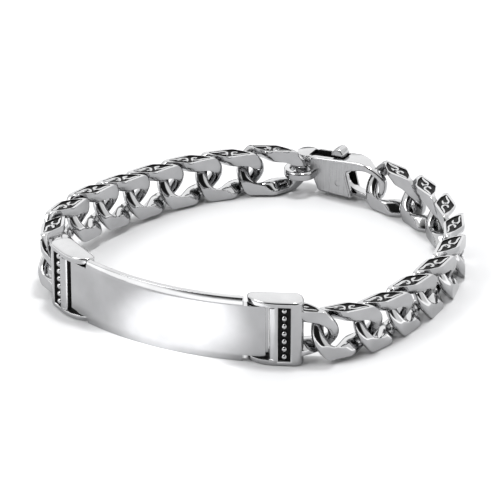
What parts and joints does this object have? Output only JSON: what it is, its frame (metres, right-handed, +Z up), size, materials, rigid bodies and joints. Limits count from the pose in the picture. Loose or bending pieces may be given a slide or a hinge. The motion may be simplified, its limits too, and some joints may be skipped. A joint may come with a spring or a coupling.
{
  "type": "identity bracelet",
  "caption": "Closed polished steel identity bracelet standing on edge: blank curved plate, beaded end brackets, flat ornamented curb chain and lobster clasp.",
  "frame": {"origin": "on the surface it stands on, under the middle of the outline", "axes": "+Z up, the plate's outer face towards -Y, the clasp at +Y, +X to the wearer's side of the right bracket"},
  "size_m": [0.0696, 0.0698, 0.012],
  "materials": {
    "polished_steel": "mirror polished steel, blackened in the recesses of the links and in the channels of the brackets",
    "satin_steel": "satin steel with a polished rim"
  },
  "bodies": {
    "bracelet": {"id_plate": "polished_steel", "bracket_right": "polished_steel", "bracket_left": "polished_steel", "hinge_pin_right": "polished_steel", "hinge_pin_left": "polished_steel", "link_r1": "polished_steel", "link_r2": "polished_steel", "link_r3": "polished_steel", "link_r4": "polished_steel", "link_r5": "polished_steel", "link_r6": "polished_steel", "link_r7": "polished_steel", "link_r8": "polished_steel", "link_r9": "polished_steel", "link_l2": "polished_steel", "link_l3": "polished_steel", "link_l4": "polished_steel", "link_l5": "polished_steel", "link_l6": "polished_steel", "link_l7": "polished_steel", "link_l8": "polished_steel", "link_l9": "polished_steel", "clasp_pin": "polished_steel", "clasp_body": "satin_steel"},
    "lever": {"clasp_lever": "polished_steel"}
  },
  "joints": [
    {"name": "lever_hinge", "type": "hinge", "parent": "bracelet", "child": "lever", "pos_m": [-0.00033, 0.03276, 0.0033], "axis": [-0.0523, -0.9986, 0], "range_deg": [0, 5], "stiffness_Nm_per_rad": 0.002, "springref_deg": -17.19}
  ]
}
